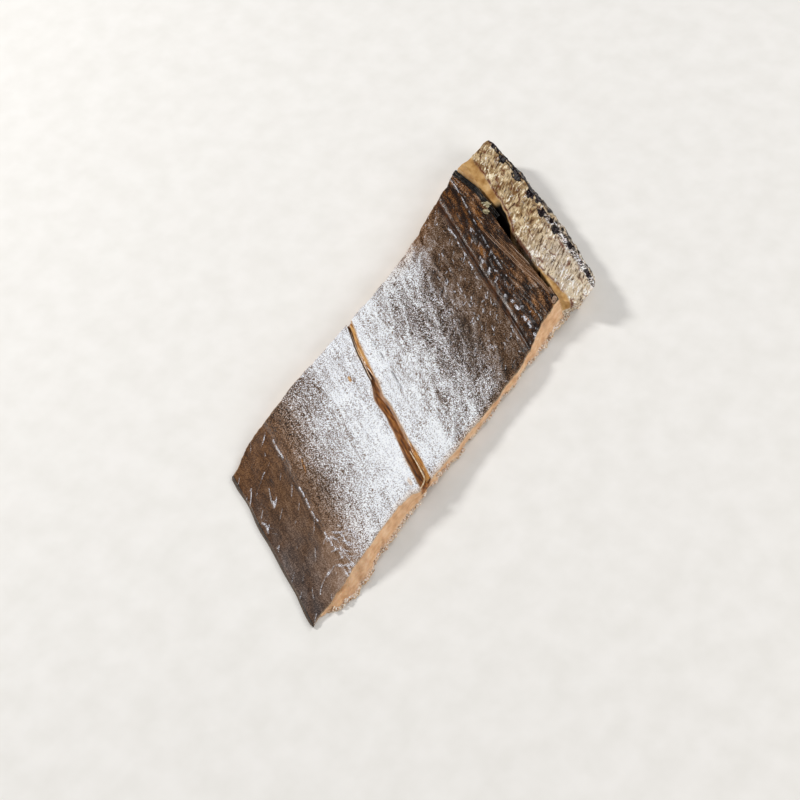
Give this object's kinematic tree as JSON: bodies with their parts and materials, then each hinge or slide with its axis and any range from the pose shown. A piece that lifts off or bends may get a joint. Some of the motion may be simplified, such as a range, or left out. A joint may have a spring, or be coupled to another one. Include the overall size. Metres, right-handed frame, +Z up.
{
  "type": "dried eel piece",
  "caption": "Piece of dried eel, a slanted strip of an opened and dried fish, silver skin up, with a slit, a crease and a raised bony fin rim.",
  "frame": {"origin": "under the middle of the piece, on the surface it lies on", "axes": "+X along the piece to the fin end, +Y across it, +Z up through the skin side"},
  "size_m": [0.1897, 0.0654, 0.0114],
  "materials": {
    "eel_skin": "silver-grey dried fish skin, satin, pale along its middle and grey-brown towards both ends",
    "eel_flesh": "dried flesh, tan and slightly translucent, satin",
    "eel_fin": "dark mottled fin skin, semi-gloss"
  },
  "bodies": {
    "root": {"dried_eel": "eel_skin"}
  },
  "joints": []
}
